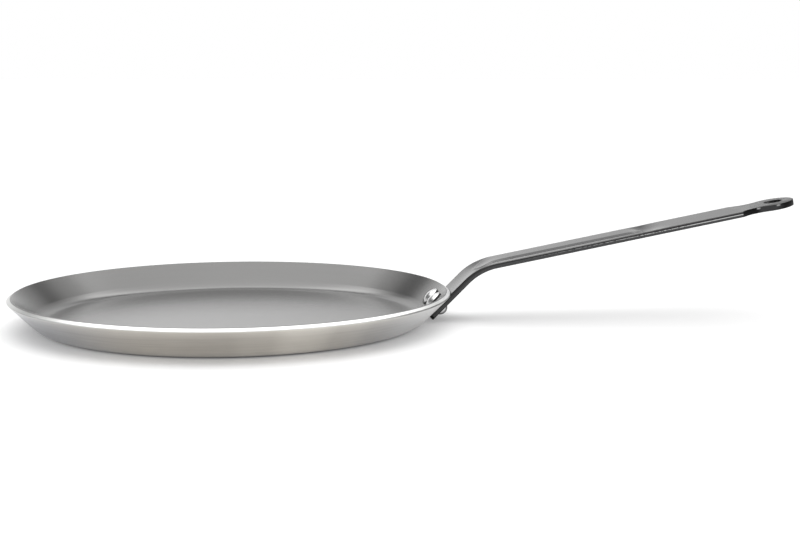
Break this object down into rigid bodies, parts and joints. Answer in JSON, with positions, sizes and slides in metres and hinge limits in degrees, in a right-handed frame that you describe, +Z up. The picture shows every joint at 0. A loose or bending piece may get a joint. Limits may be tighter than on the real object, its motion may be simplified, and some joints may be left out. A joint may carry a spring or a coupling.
{
  "type": "crepe pan",
  "caption": "Shallow round crepe pan of thick pressed aluminium with a low flared wall, a grey coated inside and a long riveted strip handle that ends in a hanging eye.",
  "frame": {"origin": "where the pan's axis meets the underside of its flat base", "axes": "+X from the axis towards the handle, +Z up out of the pan, +Y to the left of the handle seen from the pan"},
  "size_m": [0.5438, 0.2994, 0.0824],
  "materials": {
    "brushed_aluminium": "satin",
    "grey_coating": "satin",
    "coated_steel": "satin",
    "rivet_metal": "polished"
  },
  "bodies": {
    "root": {"pan_body": "brushed_aluminium", "nonstick_coating": "grey_coating", "handle_strip": "coated_steel", "handle_rivet_left": "rivet_metal", "handle_rivet_right": "rivet_metal"}
  },
  "joints": []
}
